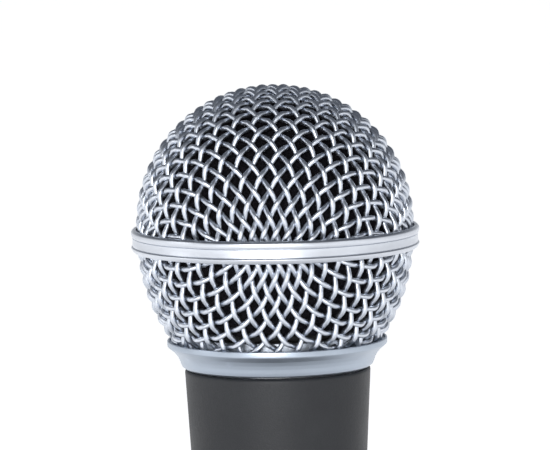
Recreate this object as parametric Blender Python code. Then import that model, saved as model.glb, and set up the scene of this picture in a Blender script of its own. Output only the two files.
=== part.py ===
"""Handheld dynamic vocal microphone, standing on its connector end.

Units are metres. +Z runs along the axis from the connector rim, at the origin, to the grille's top.
Profiles are lists of (radius, height) points. Every joint axis is the Z axis, so every body's
empty sits on it: grille_head turns on head_carrier, head_carrier lifts off the handle, capsule
floats on the handle's isolation ring, and diaphragm_carrier moves inside the capsule.
"""

import math

import bmesh
import bpy
from mathutils import Matrix, Vector

# Driving dimensions
GAP = 0.0003  # clearance between neighbouring pieces
MERGE_DISTANCE = 1e-6
OUTER_SIDES = 36  # facets round the outside
INNER_SIDES = 24  # facets round the pieces inside
SMALL_SIDES = 12  # facets round pins, holes and screws

HANDLE_LENGTH = 0.1117  # connector rim to the shoulder under the collar
HANDLE_END_RADIUS = 0.0115
HANDLE_TOP_RADIUS = 0.0165
HANDLE_WALL = 0.0022
HANDLE_TAPER_POWER = 1.25
SPIGOT_BORE = 0.0134
THREAD_CREST = 0.0156
THREAD_DEPTH = 0.0005
THREAD_PITCH = 0.001
THREAD_TURNS = 5
SPIGOT_TOP = 0.1177

SOCKET_RADIUS = 0.0082  # bore that takes the cable's connector
SOCKET_DEPTH = 0.0262
INSERT_FACE = 0.0165
INSERT_BACK = 0.0250
PIN_CIRCLE = 0.0042
PIN_RADIUS = 0.0012
PIN_HOLE = 0.0015
PIN_ANGLES = {1: 30.0, 2: 150.0, 3: 270.0}
SCREW_HEIGHT = 0.021
SCREW_RADIUS = 0.0011

BAND_PLANE = 0.1348  # mid-plane of the grille band
WEAVE = 0.0017  # thickness of the woven wire, two wires deep
DOME_RADIUS = 0.0246
DOME_CENTRE = BAND_PLANE + 0.0026
BOWL_RADIUS = 0.0245  # of the bowl at the band
BOWL_ARC = 0.0314  # radius of the bowl's side, seen in section
BOWL_DEPTH = 0.0180
RIM_OFFSET = 0.00075  # from the band's mid-plane to each mesh rim
BORE_RADIUS = 0.0159  # of the collar, clear of the spigot's thread
FOAM_DOME = 0.0035
FOAM_BOWL = 0.0029
FOAM_DEPTH = 0.0154

CAPSULE_BASE = 0.1195
CAPSULE_RADIUS = 0.0126
CAPSULE_WALL = 0.0011
CAPSULE_RIM = 0.1365
CAN_RADIUS = 0.0103
CAN_BASE = 0.090
CAN_WALL = 0.0008
MAGNET_PARTS_RADIUS = CAPSULE_RADIUS - CAPSULE_WALL - GAP
YOKE_BASE = 0.1255
YOKE_TOP = 0.1340
COIL_GAP_RADIUS = 0.0090
DIAPHRAGM_PLANE = 0.1352
FILM = 0.00025
VENTS = 6
SOUND_HOLES = 8

CORE_BASE = 0.0498
CORE_SIZE = Vector((0.017, 0.008, 0.015))
CORE_YOKE = 0.003
CENTRE_LEG = 0.0046
WINDOW_WIDTH = 0.0032
LEAD_RADIUS = 0.00045
PLUG_BASE = 0.044
PLUG_TOP = 0.0515

METAL_GREY = (0.62, 0.65, 0.69)
STEEL = (0.55, 0.56, 0.58)


def clear_scene():
    for thing in list(bpy.data.objects):
        bpy.data.objects.remove(thing)


def material(name, colour, roughness, metallic=0.0):
    made = bpy.data.materials.new(name)
    made.use_nodes = True
    shader = made.node_tree.nodes["Principled BSDF"]
    shader.inputs["Base Color"].default_value = (*colour, 1.0)
    shader.inputs["Roughness"].default_value = roughness
    shader.inputs["Metallic"].default_value = metallic
    made.diffuse_color = (*colour, 1.0)
    return made


def body(name, height):
    """An empty on the microphone's axis, which stands for one moving body."""
    empty = bpy.data.objects.new(name, None)
    empty.location = (0.0, 0.0, height)
    bpy.context.scene.collection.objects.link(empty)
    return empty


def place(name, data, look, carrier):
    """Links data, built in world coordinates, as an object whose origin is its carrier's."""
    if isinstance(data, bmesh.types.BMesh):
        mesh = bpy.data.meshes.new(name)
        bmesh.ops.recalc_face_normals(data, faces=data.faces)
        data.to_mesh(mesh)
        data.free()
        mesh.shade_smooth()
        mesh.set_sharp_from_angle(angle=math.radians(35))
        data = mesh
    thing = bpy.data.objects.new(name, data)
    bpy.context.scene.collection.objects.link(thing)
    if look:
        data.materials.append(look)
    if carrier:
        data.transform(Matrix.Translation(-carrier.location))
        thing.parent = carrier
    return thing


def spin(profile, sides):
    """The profile turned about Z. Its ends may lie on the axis; otherwise it closes on itself."""
    form = bmesh.new()
    points = [form.verts.new((radius, 0.0, height)) for radius, height in profile]
    pairs = zip(points, points[1:] + points[:1])
    sides_of_profile = [form.edges.new(pair) for pair in pairs if pair[0].co.x + pair[1].co.x > 0]
    bmesh.ops.spin(
        form,
        geom=points + sides_of_profile,
        axis=(0.0, 0.0, 1.0),
        angle=math.tau,
        steps=sides,
        use_merge=True,
    )
    bmesh.ops.remove_doubles(form, verts=form.verts, dist=MERGE_DISTANCE)
    return form


def turned(name, profile, look, carrier, sides=INNER_SIDES):
    return place(name, spin(profile, sides), look, carrier)


def ring(name, inner, outer, low, high, look, carrier, sides=INNER_SIDES):
    profile = [(inner, low), (outer, low), (outer, high), (inner, high)]
    return turned(name, profile, look, carrier, sides)


def box(low, high):
    form = bmesh.new()
    size = Vector(high) - Vector(low)
    centre = (Vector(high) + Vector(low)) / 2
    place_at = Matrix.Translation(centre) @ Matrix.Diagonal((*size, 1.0))
    bmesh.ops.create_cube(form, size=1.0, matrix=place_at)
    return form


def rod(radius, start, end, sides=SMALL_SIDES):
    """A straight round bar between two points."""
    form = bmesh.new()
    along = Vector(end) - Vector(start)
    turn = along.to_track_quat("Z", "Y").to_matrix().to_4x4()
    bmesh.ops.create_cone(
        form,
        cap_ends=True,
        segments=sides,
        radius1=radius,
        radius2=radius,
        depth=along.length,
        matrix=Matrix.Translation((Vector(start) + Vector(end)) / 2) @ turn,
    )
    return form


def combine(thing, tool, operation="DIFFERENCE"):
    """Cuts thing with tool, or joins tool to it. The tool stays as a hidden helper."""
    count = len(thing.modifiers)
    helper = place(f"{thing.name}_tool_{count}", tool, None, thing.parent)
    helper.hide_render = True
    helper.display_type = "WIRE"
    step = thing.modifiers.new(f"{operation.lower()}_{count}", "BOOLEAN")
    step.operation = operation
    step.solver = "EXACT"
    step.object = helper


def arc(centre, radius, start, end, steps):
    """Points on a circle in the profile plane. Angles in degrees, 0 outwards and 90 upwards."""
    points = []
    for i in range(steps + 1):
        angle = math.radians(start + (end - start) * i / steps)
        points.append((centre[0] + radius * math.cos(angle), centre[1] + radius * math.sin(angle)))
    return points


def bowl_side(inset, top, bottom, steps):
    """The bowl's section between two depths under the band, moved inwards by inset."""
    radius = BOWL_ARC - inset
    centre = (BOWL_RADIUS - BOWL_ARC, BAND_PLANE)
    start = -math.degrees(math.asin(top / radius))
    end = -math.degrees(math.asin(bottom / radius))
    return arc(centre, radius, start, end, steps)


def dome_side(radius, steps):
    """A quarter circle of the dome, from its widest point to the axis."""
    points = arc((0.0, DOME_CENTRE), radius, 0.0, 90.0, steps)
    points[-1] = (0.0, DOME_CENTRE + radius)
    return points


def handle_radius(height):
    share = height / HANDLE_LENGTH
    return HANDLE_END_RADIUS + (HANDLE_TOP_RADIUS - HANDLE_END_RADIUS) * share**HANDLE_TAPER_POWER


def thread(crest, root, start, turns):
    """A V-thread's section as two points a turn. The ridges are plain rings."""
    points = []
    for i in range(turns):
        points.append((crest, start + i * THREAD_PITCH))
        points.append((root, start + (i + 0.5) * THREAD_PITCH))
    return points


def pin_place(number, radius=PIN_CIRCLE):
    angle = math.radians(PIN_ANGLES[number])
    return Vector((radius * math.cos(angle), radius * math.sin(angle), 0.0))


def handle_body(look, carrier):
    rim_chamfer, mouth_chamfer = 0.0005, 0.0004
    shoulder_fillet = 0.0006
    taper_heights = [HANDLE_LENGTH * (i + 1) / 10 for i in range(9)]
    bore_step, bore_heights = 0.096, (0.076, 0.056, 0.038)
    neck_radius, neck_top, neck_low = 0.0073, 0.0295, 0.0274
    thread_root = THREAD_CREST - THREAD_DEPTH
    shoulder = (handle_radius(HANDLE_LENGTH) - shoulder_fillet, HANDLE_LENGTH - shoulder_fillet)
    outside = [(HANDLE_END_RADIUS - rim_chamfer, 0.0), (HANDLE_END_RADIUS, rim_chamfer)]
    outside += [(handle_radius(height), height) for height in taper_heights]
    outside += arc(shoulder, shoulder_fillet, 0.0, 90.0, 3)
    outside += [(thread_root, HANDLE_LENGTH), (thread_root, HANDLE_LENGTH + 0.0008)]
    outside += thread(THREAD_CREST, thread_root, HANDLE_LENGTH + 0.0012, THREAD_TURNS)
    outside += [(thread_root, SPIGOT_TOP)]
    inside = [(SPIGOT_BORE, SPIGOT_TOP), (SPIGOT_BORE, bore_step)]
    inside += [(handle_radius(height) - HANDLE_WALL, height) for height in bore_heights]
    inside += [(handle_radius(neck_top) - HANDLE_WALL, neck_top), (neck_radius, neck_low)]
    inside += [(neck_radius, SOCKET_DEPTH), (SOCKET_RADIUS, SOCKET_DEPTH)]
    inside += [(SOCKET_RADIUS, mouth_chamfer), (SOCKET_RADIUS + mouth_chamfer, 0.0)]
    handle = turned("handle_body", outside + inside, look, carrier, OUTER_SIDES)
    notch_half_width, notch_depth, notch_low, notch_top = 0.0022, 0.0012, 0.0082, 0.0110
    latch_low = (-notch_half_width, SOCKET_RADIUS - 0.001, notch_low)
    latch_high = (notch_half_width, SOCKET_RADIUS + notch_depth, notch_top)
    combine(handle, box(latch_low, latch_high))
    screw_hole = rod(SCREW_RADIUS + GAP, (0.0, -0.014, SCREW_HEIGHT), (0.0, -0.007, SCREW_HEIGHT))
    combine(handle, screw_hole)


def connector(plastic, contact, screw_look, carrier):
    radius = SOCKET_RADIUS - GAP
    edge = 0.0003
    profile = [(0.0, INSERT_FACE), (radius - edge, INSERT_FACE), (radius, INSERT_FACE + edge)]
    profile += [(radius, INSERT_BACK), (0.0, INSERT_BACK)]
    insert = turned("xlr_insert", profile, plastic, carrier)
    key_half_width, key_inner, key_outer, key_low = 0.0008, 0.0066, 0.00775, 0.006
    key_top = INSERT_FACE + 0.0005
    key = box((-key_half_width, key_inner, key_low), (key_half_width, key_outer, key_top))
    combine(insert, key, "UNION")
    for number in PIN_ANGLES:
        at = pin_place(number)
        hole = rod(PIN_HOLE, at + Vector((0, 0, 0.015)), at + Vector((0, 0, 0.027)))
        combine(insert, hole)
        xlr_pin(number, contact, carrier)
    screw_seat = rod(SCREW_RADIUS + GAP, (0.0, -0.009, SCREW_HEIGHT), (0.0, -0.0065, SCREW_HEIGHT))
    combine(insert, screw_seat)
    screw = rod(SCREW_RADIUS, (0.0, -0.0113, SCREW_HEIGHT), (0.0, -0.0068, SCREW_HEIGHT))
    set_screw = place("set_screw", screw, screw_look, carrier)
    slot = box((-0.0014, -0.0116, SCREW_HEIGHT - 0.0002), (0.0014, -0.0108, SCREW_HEIGHT + 0.0002))
    combine(set_screw, slot)


def xlr_pin(number, look, carrier):
    """A round contact with a rounded tip and a solder cup. Pin 1 reaches out a little further."""
    tip = 0.0015 if number == 1 else 0.0020
    cup_floor, cup_rim, cup_radius = 0.0275, 0.0305, 0.00075
    profile = [(0.0, tip)] + arc((0.0, tip + PIN_RADIUS), PIN_RADIUS, -60.0, 0.0, 2)
    profile += [(PIN_RADIUS, cup_rim), (cup_radius, cup_rim), (cup_radius, cup_floor), (0.0, cup_floor)]
    form = spin(profile, SMALL_SIDES)
    bmesh.ops.translate(form, verts=form.verts, vec=pin_place(number))
    place(f"xlr_pin_{number}", form, look, carrier)


def ground_clip(look, carrier):
    """A flat tag round pin 1 whose tail is held against the handle's inner shoulder."""
    low, thickness = INSERT_BACK + GAP, 0.0005
    eye, tail, half_width, hole_radius = 0.0025, 0.0035, 0.0015, 0.0017
    outline = [Vector(point).to_3d() for point in arc((0.0, 0.0), eye, 40.0, 320.0, 10)]
    outline += [Vector((tail, -half_width, 0.0)), Vector((tail, half_width, 0.0))]
    form = bmesh.new()
    turn = Matrix.Rotation(math.radians(PIN_ANGLES[1]), 4, "Z")
    seat = Matrix.Translation(pin_place(1) + Vector((0.0, 0.0, low))) @ turn
    face = form.faces.new([form.verts.new(seat @ point) for point in outline])
    grown = bmesh.ops.extrude_face_region(form, geom=[face])["geom"]
    top = [item for item in grown if isinstance(item, bmesh.types.BMVert)]
    bmesh.ops.translate(form, verts=top, vec=(0.0, 0.0, thickness))
    clip = place("ground_clip", form, look, carrier)
    below, above = Vector((0.0, 0.0, low - 0.001)), Vector((0.0, 0.0, low + 0.002))
    combine(clip, rod(hole_radius, pin_place(1) + below, pin_place(1) + above))


def isolation_ring(look, carrier):
    """A folded rubber ring: its outer leg grips the spigot's bore and its inner leg the capsule's can."""
    inner, outer, leg = CAN_RADIUS + GAP, SPIGOT_BORE - GAP, 0.0008
    flange_low, flange_top, flange_radius = SPIGOT_TOP + GAP, CAPSULE_BASE - GAP, 0.015
    profile = [(inner, 0.112), (inner + leg, 0.112), (inner + leg, flange_low - 0.0006)]
    profile += [(outer - leg, flange_low - 0.0006), (outer - leg, 0.1105), (outer, 0.1105)]
    profile += [(outer, flange_low), (flange_radius, flange_low), (flange_radius, flange_top)]
    profile += [(inner, flange_top)]
    turned("isolation_ring", profile, look, carrier)


def transformer(laminate, plastic, copper, adhesive, carrier):
    half = CORE_SIZE / 2
    top = CORE_BASE + CORE_SIZE.z
    window_low, window_high = CORE_BASE + CORE_YOKE, top - CORE_YOKE
    leg = CENTRE_LEG / 2
    core = box((-half.x, -half.y, CORE_BASE), (half.x, half.y, top))
    core = place("transformer_core", core, laminate, carrier)
    for side in (-1, 1):
        near, far = sorted((side * leg, side * (leg + WINDOW_WIDTH)))
        combine(core, box((near, -half.y * 2, window_low), (far, half.y * 2, window_high)))

    low, high = window_low + GAP, window_high - GAP
    wall, flange, reach = 0.0005, 0.0007, 0.003
    hole = Vector((leg + GAP, half.y + GAP))
    sleeve = hole + Vector((wall, wall))
    rim = Vector((leg + WINDOW_WIDTH - GAP, half.y + reach))
    bobbin = box((-sleeve.x, -sleeve.y, low), (sleeve.x, sleeve.y, high))
    bobbin = place("transformer_bobbin", bobbin, plastic, carrier)
    combine(bobbin, box((-rim.x, -rim.y, low), (rim.x, rim.y, low + flange)), "UNION")
    combine(bobbin, box((-rim.x, -rim.y, high - flange), (rim.x, rim.y, high)), "UNION")
    combine(bobbin, box((-hole.x, -hole.y, low - 0.001), (hole.x, hole.y, high + 0.001)))

    inner = sleeve + Vector((GAP, GAP))
    outer = rim - Vector((0.0002, GAP))
    low, high = low + flange + GAP, high - flange - GAP
    winding = box((-outer.x, -outer.y, low), (outer.x, outer.y, high))
    winding = place("transformer_winding", winding, copper, carrier)
    combine(winding, box((-inner.x, -inner.y, low - 0.001), (inner.x, inner.y, high + 0.001)))

    radius = handle_radius(PLUG_BASE) - HANDLE_WALL - GAP
    profile = [(0.0, PLUG_BASE), (radius, PLUG_BASE), (radius, PLUG_TOP), (0.0, PLUG_TOP)]
    plug = turned("glue_plug", profile, adhesive, carrier)
    pocket = half + Vector((GAP, GAP, 0.0))
    low = CORE_BASE - GAP
    combine(plug, box((-pocket.x, -pocket.y, low), (pocket.x, pocket.y, PLUG_TOP + 0.001)))
    for side in (-1, 1):
        at = Vector((side * 0.0025, -0.006, 0.0))
        channel = rod(2 * LEAD_RADIUS, at + Vector((0, 0, 0.043)), at + Vector((0, 0, 0.053)))
        combine(plug, channel)


def smooth_route(points, per_stretch=4):
    """Points on one smooth curve through the route's own points."""
    route = [Vector(point) for point in points]
    route = [2 * route[0] - route[1]] + route + [2 * route[-1] - route[-2]]
    found = []
    for before, start, end, after in zip(route, route[1:], route[2:], route[3:]):
        for i in range(per_stretch):
            t = i / per_stretch
            bend = 2 * before - 5 * start + 4 * end - after
            twist = -before + 3 * start - 3 * end + after
            found.append((2 * start + (end - before) * t + bend * t**2 + twist * t**3) / 2)
    return found + [route[-2]]


def lead(name, points, look, carrier):
    curve = bpy.data.curves.new(name, "CURVE")
    curve.dimensions = "3D"
    curve.bevel_depth = LEAD_RADIUS
    curve.bevel_resolution = 1
    curve.use_fill_caps = True
    route = smooth_route(points)
    spline = curve.splines.new("POLY")
    spline.points.add(len(route) - 1)
    for point, position in zip(spline.points, route):
        point.co = (*position, 1.0)
    place(name, curve, look, carrier)


def leads(red, black, yellow, green, carrier):
    """Two leads from the capsule's terminals to the transformer, and two on to pins 2 and 3."""
    flange_top = CORE_BASE + CORE_SIZE.z - CORE_YOKE
    for number, side, look in ((1, 1, red), (2, -1, black)):
        points = [(side * 0.004, 0.0, 0.0837), (side * 0.004, 0.0008, 0.080)]
        points += [(side * 0.0034, 0.004, 0.074), (side * 0.0025, 0.006, 0.068)]
        points += [(side * 0.0025, 0.006, flange_top)]
        lead(f"capsule_lead_{number}", points, look, carrier)
    for number, side, look in ((2, -1, yellow), (3, 1, green)):
        end = pin_place(number)
        points = [(side * 0.0025, -0.006, 0.0528), (side * 0.0025, -0.006, 0.0435)]
        middle = (Vector(points[-1]) * 0.4).lerp(end, 0.6)
        points += [(middle.x, middle.y, 0.0385), (end.x, end.y, 0.0345), (end.x, end.y, 0.0308)]
        lead(f"output_lead_{number}", points, look, carrier)


def capsule_shell(plastic, metal, board_look, brass, felt, carrier):
    inner = CAPSULE_RADIUS - CAPSULE_WALL
    floor_top = CAPSULE_BASE + 0.0012
    profile = [(CAN_RADIUS + GAP, CAPSULE_BASE), (CAPSULE_RADIUS, CAPSULE_BASE)]
    profile += [(CAPSULE_RADIUS, CAPSULE_RIM), (inner, CAPSULE_RIM), (inner, floor_top)]
    profile += [(CAN_RADIUS + GAP, floor_top)]
    housing = turned("capsule_housing", profile, plastic, carrier, OUTER_SIDES)
    for i in range(VENTS):
        turn = Matrix.Rotation(math.tau * (i + 0.5) / VENTS, 4, "Z")
        vent = box((0.0110, -0.0017, 0.1224), (0.0135, 0.0017, 0.1250))
        bmesh.ops.transform(vent, matrix=turn, verts=vent.verts)
        combine(housing, vent)

    flange_low = floor_top + GAP
    flange_top = flange_low + 0.0006
    wire_hole = 0.0020
    can_inner = CAN_RADIUS - CAN_WALL
    profile = [(wire_hole, CAN_BASE), (CAN_RADIUS, CAN_BASE), (CAN_RADIUS, flange_low)]
    profile += [(MAGNET_PARTS_RADIUS, flange_low), (MAGNET_PARTS_RADIUS, flange_top)]
    profile += [(can_inner, flange_top), (can_inner, CAN_BASE + CAN_WALL)]
    profile += [(wire_hole, CAN_BASE + CAN_WALL)]
    turned("rear_chamber", profile, metal, carrier)
    ring("vent_felt", 0.0104, MAGNET_PARTS_RADIUS, flange_top + GAP, YOKE_BASE - GAP, felt, carrier)

    board_top = CAN_BASE - GAP
    board_low = board_top - 0.0015
    ring("terminal_board", wire_hole, 0.0094, board_low, board_top, board_look, carrier)
    for number, x in ((1, 0.004), (2, -0.004)):
        low, high = (x - 0.0009, -0.00025, 0.084), (x + 0.0009, 0.00025, board_low - GAP)
        place(f"capsule_terminal_{number}", box(low, high), brass, carrier)


def motor(steel, magnet_look, carrier):
    """The magnet between its steel yoke and pole piece, with a rear port through all three."""
    port = 0.0015
    floor_top = YOKE_BASE + 0.0025
    profile = [(port, YOKE_BASE), (MAGNET_PARTS_RADIUS, YOKE_BASE), (MAGNET_PARTS_RADIUS, YOKE_TOP)]
    profile += [(COIL_GAP_RADIUS, YOKE_TOP), (COIL_GAP_RADIUS, floor_top), (port, floor_top)]
    turned("yoke_cup", profile, steel, carrier)
    magnet_top = YOKE_TOP - 0.002
    ring("magnet", port, 0.0070, floor_top + GAP, magnet_top, magnet_look, carrier)
    ring("pole_piece", port, 0.0079, magnet_top + GAP, YOKE_TOP, steel, carrier)


def diaphragm_parts(film, copper, carrier):
    plane = DIAPHRAGM_PLANE
    dome_height, roll_height = 0.0009, 0.0004
    under = [(0.0, plane + dome_height), (0.0030, plane + 0.86 * dome_height)]
    under += [(0.0055, plane + 0.54 * dome_height), (0.0078, plane), (0.0090, plane)]
    under += [(0.0095, plane + 0.75 * roll_height), (0.0100, plane + roll_height)]
    under += [(0.0105, plane + 0.75 * roll_height), (0.0108, plane), (0.0111, plane)]
    over = [(radius, height + FILM) for radius, height in reversed(under)]
    turned("diaphragm", under + over, film, carrier)
    ring("voice_coil", 0.0082, 0.0087, 0.1314, plane - GAP, copper, carrier)


def capsule_front(brass, metal, screen, carrier):
    outer = MAGNET_PARTS_RADIUS
    ring("diaphragm_seat", 0.0099, outer, YOKE_TOP + GAP, DIAPHRAGM_PLANE - 0.00035, brass, carrier)
    under, over, flange_low = 0.1371, 0.1382, CAPSULE_RIM + GAP
    skirt_inner, skirt_low = 0.0103, DIAPHRAGM_PLANE + 0.0011
    rim_inner, rim_top = 0.0119, 0.1395
    profile = [(0.0, under), (skirt_inner, under), (skirt_inner, skirt_low), (outer, skirt_low)]
    profile += [(outer, flange_low), (CAPSULE_RADIUS, flange_low), (CAPSULE_RADIUS, rim_top - GAP)]
    profile += [(CAPSULE_RADIUS - GAP, rim_top), (rim_inner, rim_top), (rim_inner, over), (0.0, over)]
    cap = turned("front_cap", profile, metal, carrier, OUTER_SIDES)
    hole_low, hole_high = Vector((0, 0, under - 0.001)), Vector((0, 0, over + 0.001))
    combine(cap, rod(0.0020, hole_low, hole_high))
    for i in range(SOUND_HOLES):
        angle = math.tau * i / SOUND_HOLES
        at = Vector((0.0066 * math.cos(angle), 0.0066 * math.sin(angle), 0.0))
        combine(cap, rod(0.0014, at + hole_low, at + hole_high))
    screen_low = over + GAP
    screen_top = screen_low + GAP
    screen_radius = rim_inner - GAP
    profile = [(0.0, screen_low), (screen_radius, screen_low)]
    profile += [(screen_radius, screen_top), (0.0, screen_top)]
    turned("front_screen", profile, screen, carrier)
    ring("screen_ring", 0.0104, screen_radius, screen_top + GAP, rim_top, brass, carrier)


def grille_meshes(look, carrier):
    """The two woven cups as thin shells of the weave's real thickness."""
    rim = BAND_PLANE + RIM_OFFSET
    outside = [(DOME_RADIUS, rim)] + dome_side(DOME_RADIUS, 10)
    inside = dome_side(DOME_RADIUS - WEAVE, 8)[::-1] + [(DOME_RADIUS - WEAVE, rim)]
    turned("grille_dome", outside + inside, look, carrier, OUTER_SIDES)
    outside = bowl_side(0.0, RIM_OFFSET, BOWL_DEPTH, 6)
    inside = bowl_side(WEAVE, RIM_OFFSET, BOWL_DEPTH, 5)[::-1]
    turned("grille_bowl", outside + inside, look, carrier, OUTER_SIDES)


def grille_band(look, carrier):
    """Two outer beads with a recess between them, and a slot above and below for the mesh rims."""
    upper = [(0.0249, 0.0019), (0.0251, 0.00198), (0.0253, 0.0019), (0.0255, 0.0014)]
    upper += [(0.0255, 0.0009), (0.02522, 0.00075)]
    lower = [(radius, -height) for radius, height in reversed(upper)]
    slot_outer, slot_inner, inside, web, skirt = 0.0249, 0.0226, 0.0220, 0.0004, 0.0016
    slots = [(slot_outer, -web), (slot_inner, -web), (slot_inner, -skirt), (inside, -skirt)]
    slots += [(inside, skirt), (slot_inner, skirt), (slot_inner, web), (slot_outer, web)]
    profile = [(radius, BAND_PLANE + height) for radius, height in upper + lower + slots]
    turned("grille_band", profile, look, carrier, OUTER_SIDES)


def grille_collar(look, carrier):
    """A lip round the bowl's rim, a short taper and a threaded skirt."""
    lip_centre, lip_radius = (0.01932, BAND_PLANE - 0.01808), 0.0002
    lip_inner = lip_centre[0] - lip_radius
    groove_floor = BAND_PLANE - BOWL_DEPTH - GAP
    skirt = [(0.0193, 0.0185), (0.0182, 0.01975), (0.0176, 0.0205), (0.01735, 0.0212)]
    skirt += [(0.01715, 0.0219), (0.0169, 0.0225), (0.0165, 0.0228), (0.0161, 0.0228)]
    skirt = [(radius, BAND_PLANE - depth) for radius, depth in skirt]
    seat_radius, seat_floor = 0.01705, BAND_PLANE - 0.0198
    bore = [(BORE_RADIUS, BAND_PLANE - 0.0225)]
    bore += thread(BORE_RADIUS, BORE_RADIUS + THREAD_DEPTH, BAND_PLANE - 0.0220, 2)
    bore += [(BORE_RADIUS, BAND_PLANE - 0.0200), (BORE_RADIUS, seat_floor)]
    seat = [(seat_radius, seat_floor), (seat_radius, groove_floor), (lip_inner, groove_floor)]
    profile = arc(lip_centre, lip_radius, 180.0, 0.0, 4) + skirt + bore + seat
    turned("grille_collar", profile, look, carrier, OUTER_SIDES)


def grille_sleeve(look, carrier):
    """The ring that stands in the collar and holds the bowl's rim against the lip."""
    low, high = BAND_PLANE - 0.0195, BAND_PLANE - 0.0168
    inner, outer = BORE_RADIUS, 0.0164
    ring("grille_sleeve", inner, outer, low, high, look, carrier, OUTER_SIDES)


def foam_liner(look, carrier):
    """Foam inside both cups, pinched in behind the band."""
    outer_dome = DOME_RADIUS - WEAVE - 0.0004
    pinch_radius, pinch = 0.0216, 0.0019
    outer_inset, inner_inset = WEAVE + GAP, WEAVE + GAP + FOAM_BOWL
    outside = dome_side(outer_dome, 8)[::-1]
    outside += [(outer_dome, BAND_PLANE + pinch), (pinch_radius, BAND_PLANE + pinch)]
    outside += [(pinch_radius, BAND_PLANE - pinch)]
    outside += bowl_side(outer_inset, pinch, FOAM_DEPTH, 4)
    inside = bowl_side(inner_inset, 0.0, FOAM_DEPTH, 4)[::-1]
    inside += dome_side(outer_dome - FOAM_DOME, 6)
    turned("foam_liner", outside + inside, look, carrier, INNER_SIDES)


def main():
    clear_scene()
    nickel = material("satin_nickel", METAL_GREY, 0.3, 1.0)
    steel = material("plated_steel", STEEL, 0.35, 1.0)
    enamel = material("handle_enamel", (0.045, 0.05, 0.055), 0.55)
    black_plastic = material("black_plastic", (0.02, 0.02, 0.022), 0.45)
    brass = material("brass", (0.72, 0.52, 0.22), 0.35, 1.0)
    rubber = material("rubber", (0.02, 0.02, 0.02), 0.8)
    foam = material("black_foam", (0.008, 0.008, 0.009), 0.95)
    felt = material("grey_felt", (0.15, 0.15, 0.14), 0.95)
    board = material("terminal_board", (0.35, 0.19, 0.08), 0.6)
    ferrite = material("magnet_alloy", (0.12, 0.12, 0.13), 0.5, 1.0)
    film = material("clear_film", (0.75, 0.72, 0.62), 0.2)
    copper = material("copper_wire", (0.72, 0.33, 0.16), 0.35, 1.0)
    laminate = material("core_steel", (0.28, 0.27, 0.27), 0.5, 1.0)
    adhesive = material("adhesive", (0.62, 0.5, 0.28), 0.5)
    red = material("red_insulation", (0.5, 0.03, 0.02), 0.5)
    black = material("black_insulation", (0.02, 0.02, 0.02), 0.5)
    yellow = material("yellow_insulation", (0.7, 0.5, 0.04), 0.5)
    green = material("green_insulation", (0.04, 0.3, 0.09), 0.5)

    handle = body("handle", 0.0)
    capsule = body("capsule", CAPSULE_BASE)
    diaphragm_carrier = body("diaphragm_carrier", DIAPHRAGM_PLANE)
    head_carrier = body("head_carrier", HANDLE_LENGTH)
    grille_head = body("grille_head", HANDLE_LENGTH)

    handle_body(enamel, handle)
    connector(black_plastic, nickel, steel, handle)
    ground_clip(brass, handle)
    isolation_ring(rubber, handle)
    transformer(laminate, black_plastic, copper, adhesive, handle)
    leads(red, black, yellow, green, handle)

    capsule_shell(black_plastic, nickel, board, brass, felt, capsule)
    motor(steel, ferrite, capsule)
    capsule_front(brass, nickel, steel, capsule)
    diaphragm_parts(film, copper, diaphragm_carrier)

    grille_sleeve(nickel, head_carrier)
    grille_meshes(nickel, grille_head)
    grille_band(nickel, grille_head)
    grille_collar(nickel, grille_head)
    foam_liner(foam, grille_head)


main()
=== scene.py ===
# Looks of a handheld dynamic vocal microphone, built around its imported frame. Units are metres and
# +Z runs up the microphone's axis. Sections are lists of (radius, height) points, turned about Z.
# The two grille cups are woven here wire by wire. A woven cup is a flat square weave pressed over a
# form: its wires keep their pitch and shear past each other, so the cells are square where the
# wires run up and round the cup, and narrow diamonds on the bias between them.

import math

import bmesh
import bpy
import numpy as np
from mathutils import Matrix, Vector, noise


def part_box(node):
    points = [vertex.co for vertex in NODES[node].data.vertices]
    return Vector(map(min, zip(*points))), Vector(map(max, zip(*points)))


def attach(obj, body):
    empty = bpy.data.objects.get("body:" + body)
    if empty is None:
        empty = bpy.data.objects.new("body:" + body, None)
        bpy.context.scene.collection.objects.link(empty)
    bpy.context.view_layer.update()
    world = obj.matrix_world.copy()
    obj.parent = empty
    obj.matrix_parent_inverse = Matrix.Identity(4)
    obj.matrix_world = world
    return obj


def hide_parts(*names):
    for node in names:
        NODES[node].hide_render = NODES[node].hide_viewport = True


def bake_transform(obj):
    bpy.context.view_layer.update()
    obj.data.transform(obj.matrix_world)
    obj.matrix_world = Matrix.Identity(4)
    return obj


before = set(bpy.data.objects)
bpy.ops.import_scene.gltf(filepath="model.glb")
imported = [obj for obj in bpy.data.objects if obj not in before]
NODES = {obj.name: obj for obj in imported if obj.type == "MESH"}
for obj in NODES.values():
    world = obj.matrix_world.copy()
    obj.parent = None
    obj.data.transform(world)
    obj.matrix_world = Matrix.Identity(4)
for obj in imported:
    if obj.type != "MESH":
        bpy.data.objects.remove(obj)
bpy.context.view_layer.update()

MM = 0.001
FINE_SIDES = 192
ROUND_SIDES = 96
CORNER_STEP = math.radians(18)  # angle between points on a rounded corner

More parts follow.
